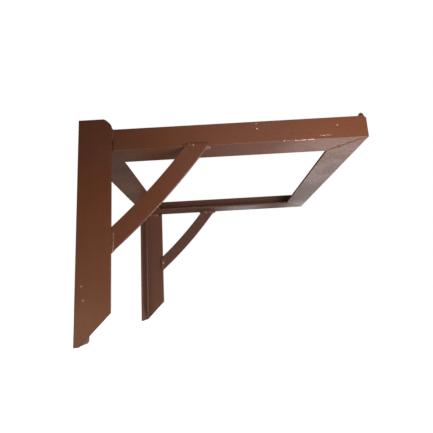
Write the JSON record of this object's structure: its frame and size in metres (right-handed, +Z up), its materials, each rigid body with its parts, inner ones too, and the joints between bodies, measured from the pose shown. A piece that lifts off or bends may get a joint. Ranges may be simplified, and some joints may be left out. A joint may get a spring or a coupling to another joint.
{
  "type": "wall shelf frame",
  "caption": "Welded angle-iron wall shelf frame: a closed mitred frame with a recessed ledge for a board, on two wall uprights with bowed flat-bar braces.",
  "frame": {"origin": "centre of the four wall holes, in the plane of the wall", "axes": "+X along the wall, to the right for a viewer facing the wall; +Y out of the back into the wall; +Z up"},
  "size_m": [0.427, 0.395, 0.297],
  "materials": {
    "painted_steel": "satin brushed red-brown oil paint over mill-finish steel, thin and chipped along the arrises",
    "painted_weld": "the same paint over unground arc weld beads, with a few glossy spots and bare specks"
  },
  "bodies": {
    "root": {"left_upright": "painted_steel", "right_upright": "painted_steel", "left_arm": "painted_steel", "right_arm": "painted_steel", "front_rail": "painted_steel", "rear_rail": "painted_steel", "left_brace": "painted_steel", "right_brace": "painted_steel", "front_left_mitre_weld": "painted_weld", "front_right_mitre_weld": "painted_weld", "rear_left_mitre_weld": "painted_weld", "rear_right_mitre_weld": "painted_weld", "left_seat_weld": "painted_weld", "right_seat_weld": "painted_weld", "left_top_weld": "painted_weld", "right_top_weld": "painted_weld", "left_edge_weld": "painted_weld", "right_edge_weld": "painted_weld", "left_brace_foot_weld": "painted_weld", "right_brace_foot_weld": "painted_weld", "left_brace_head_weld": "painted_weld", "right_brace_head_weld": "painted_weld"}
  },
  "joints": []
}
